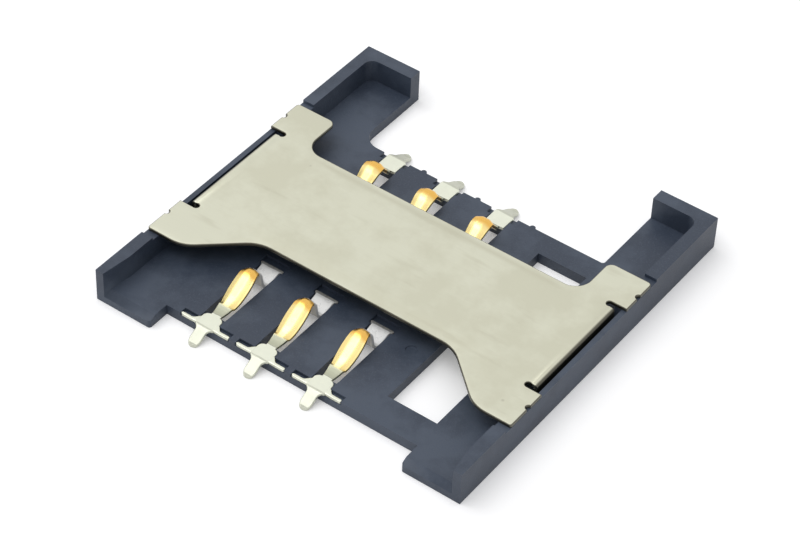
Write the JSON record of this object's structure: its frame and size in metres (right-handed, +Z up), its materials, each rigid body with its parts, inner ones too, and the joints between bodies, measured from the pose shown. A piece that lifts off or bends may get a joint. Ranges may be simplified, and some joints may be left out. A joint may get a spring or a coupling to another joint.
{
  "type": "sim card socket",
  "caption": "Flat surface-mount SIM card socket: open plastic tray with side rims and end stops, stamped metal bridge over the card and two rows of sprung spoon contacts with solder tails.",
  "frame": {"origin": "centre of the housing's plan on the board face", "axes": "+Z up from the board, +Y the way the card goes in, +X to the right seen from the card's entry"},
  "size_m": [0.0164, 0.0166, 0.0016],
  "materials": {
    "housing_plastic": "fine moulded texture, dark blue-grey",
    "bridge_steel": "warm grey rolled stainless sheet",
    "contact_metal": "copper alloy, tinned pads and tails, gold-plated spoons"
  },
  "bodies": {
    "root": {"housing": "housing_plastic", "bridge": "bridge_steel", "contact_front_left": "contact_metal", "contact_front_middle": "contact_metal", "contact_front_right": "contact_metal", "contact_rear_left": "contact_metal", "contact_rear_middle": "contact_metal", "contact_rear_right": "contact_metal"}
  },
  "joints": []
}
